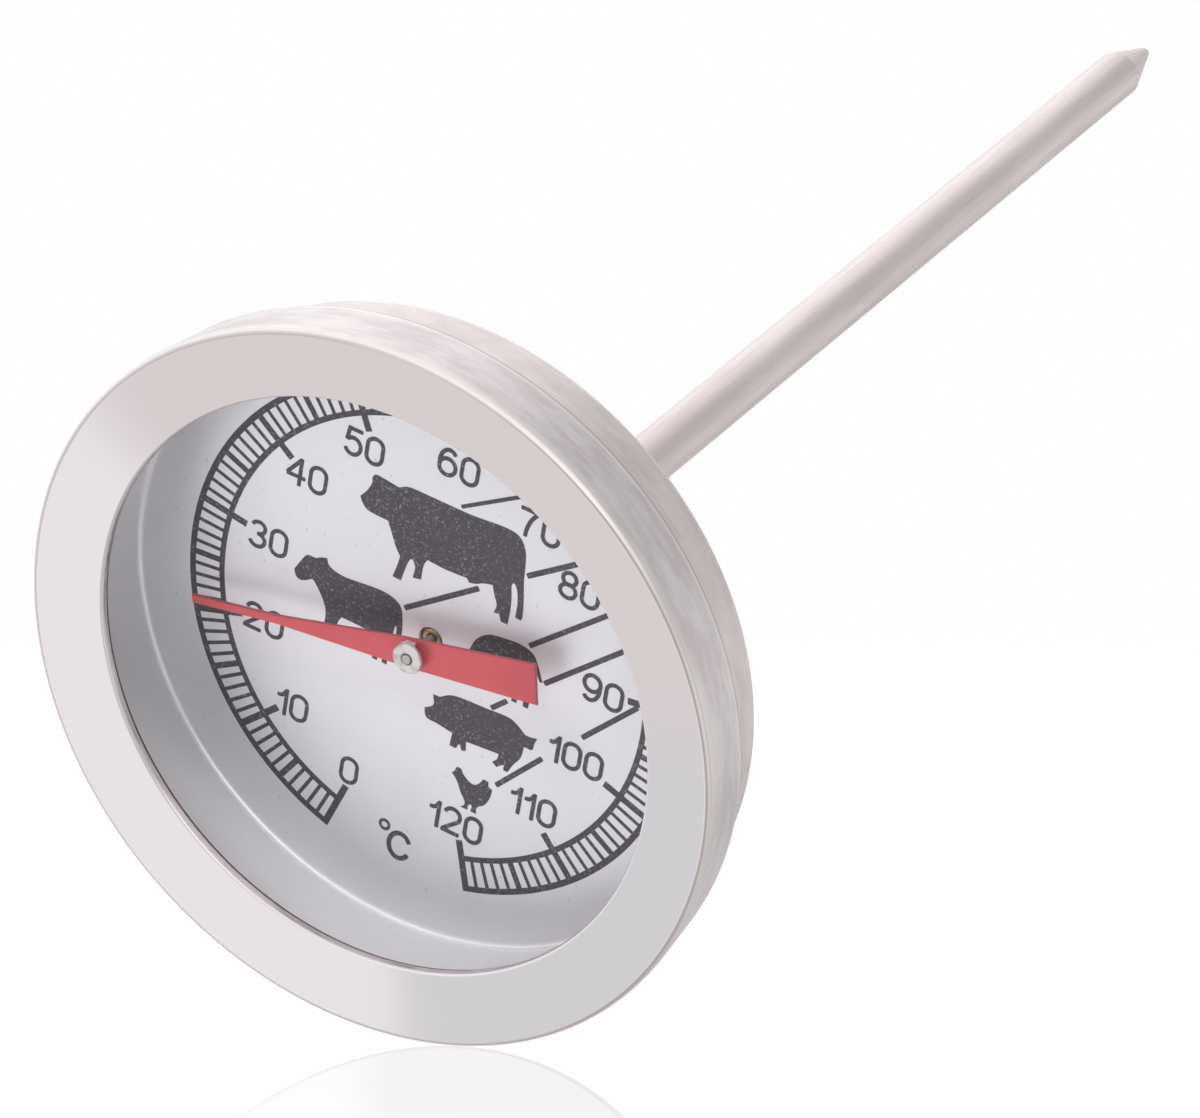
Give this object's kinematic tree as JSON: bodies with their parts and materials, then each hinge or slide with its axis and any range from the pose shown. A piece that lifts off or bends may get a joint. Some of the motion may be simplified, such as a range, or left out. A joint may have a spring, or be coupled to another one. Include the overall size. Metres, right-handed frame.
{
  "type": "dial probe thermometer",
  "caption": "Pocket-size dial thermometer: a round steel case with a red pointer over a Celsius dial, on a long thin pointed probe.",
  "frame": {"origin": "centre of the case back's outer face, on the stem's axis", "axes": "+Y along the stem to its point, so the dial faces -Y; +Z at 12 o'clock on the dial; +X to the right of a reader of the dial"},
  "size_m": [0.054, 0.1213, 0.054],
  "materials": {
    "bezel_steel": "satin, faintly brushed in circles",
    "case_steel": "satin, drawn",
    "stem_steel": "satin, ground along its length",
    "spring_steel": "plain",
    "seal_rubber": "dark brown, matte",
    "window_glass": "clear, polished",
    "dial_aluminium": "matte, printed in dark grey",
    "guide_brass": "turned",
    "bimetal_strip": "rolled strip",
    "pointer_red": "matte red",
    "hub_aluminium": "pressed, satin"
  },
  "bodies": {
    "case": {"bezel_ring": "bezel_steel", "window_seal": "seal_rubber", "glass_window": "window_glass", "dial_pan": "dial_aluminium", "case_back": "case_steel", "stem_bush": "case_steel", "bush_washer": "spring_steel", "stem_tube": "stem_steel", "stem_tip": "stem_steel", "upper_guide": "guide_brass", "middle_guide": "guide_brass", "coil_anchor": "guide_brass", "bimetal_coil": "bimetal_strip"},
    "indicator": {"pointer": "pointer_red", "pointer_hub": "hub_aluminium", "spindle": "spring_steel", "coil_cap": "guide_brass"}
  },
  "joints": [
    {"name": "pointer_turn", "type": "hinge", "parent": "case", "child": "indicator", "pos_m": [0, 0, 0], "axis": [0, 1, 0], "range_deg": [-60.4, 264.6], "stiffness_Nm_per_rad": 0.00046, "deforming": ["bimetal_coil"]}
  ]
}
